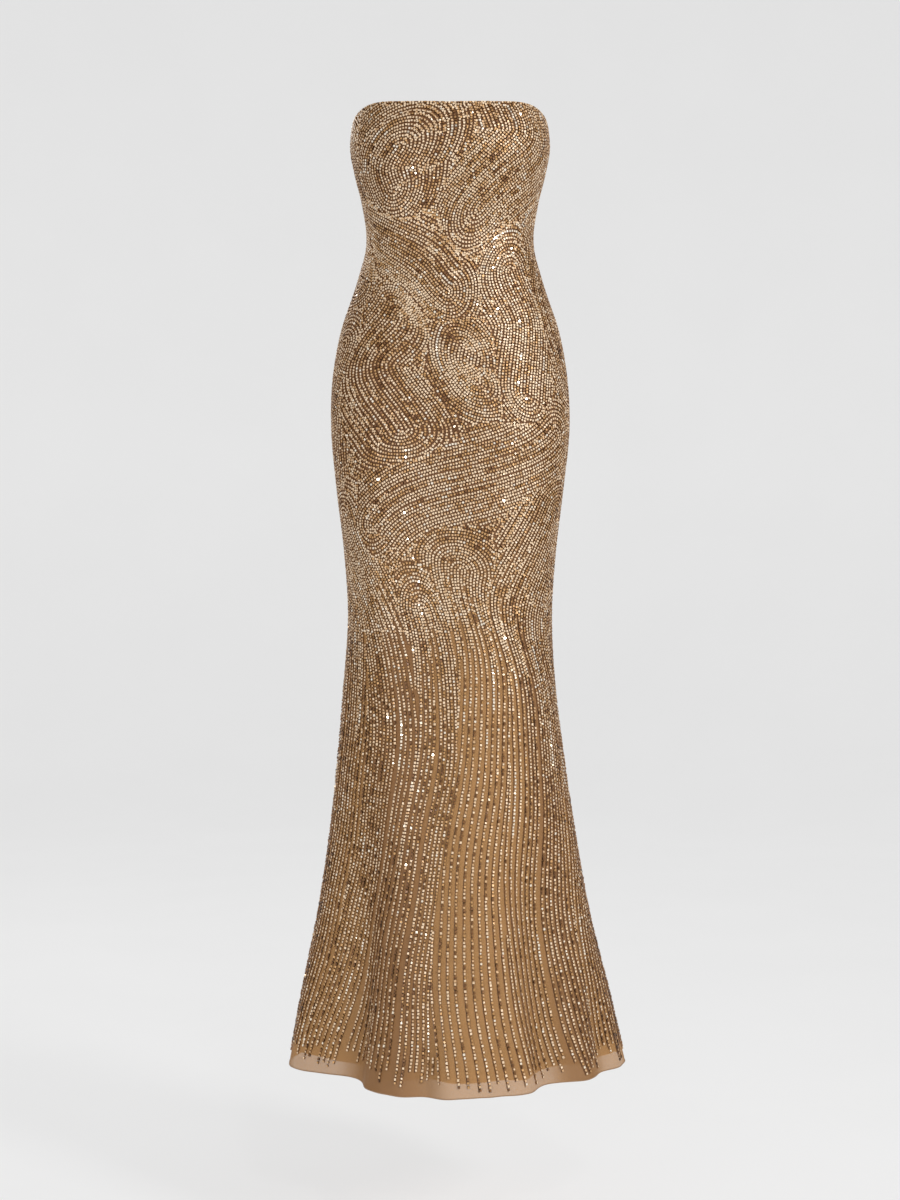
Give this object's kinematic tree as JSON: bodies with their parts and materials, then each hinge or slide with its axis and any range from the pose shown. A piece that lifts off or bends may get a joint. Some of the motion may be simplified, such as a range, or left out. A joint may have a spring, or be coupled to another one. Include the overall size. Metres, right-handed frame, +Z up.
{
  "type": "strapless column gown",
  "caption": "Floor-length strapless column gown of beaded tulle over a shorter satin lining, flared below the knee, with a centre-back zip.",
  "frame": {"origin": "on the gown's axis at the bust line, at the middle of the ring that the bodice grips the body with", "axes": "+Z up along the gown, the front faces -Y, and +X is the wearer's left"},
  "size_m": [0.5049, 0.4316, 1.4136],
  "materials": {
    "beaded_tulle": "champagne and gold glass beads on sheer beige tulle",
    "lining_satin": "matte caramel satin",
    "zip_nylon": "woven tape with a nylon coil",
    "zip_metal": "gold-plated, polished"
  },
  "bodies": {
    "gown": {"shell_front": "beaded_tulle", "shell_back_left": "beaded_tulle", "shell_back_right": "beaded_tulle", "lining_front": "lining_satin", "lining_back_left": "lining_satin", "lining_back_right": "lining_satin", "zip_chain": "zip_nylon", "zip_slider": "zip_metal"},
    "zip_pull": {"pull_tab": "zip_metal"}
  },
  "joints": [
    {"name": "pull_tab_swing", "type": "hinge", "parent": "gown", "child": "zip_pull", "pos_m": [0, 0.10362, -0.01821], "axis": [1, 0, 0], "range_deg": [-12, 170]}
  ]
}
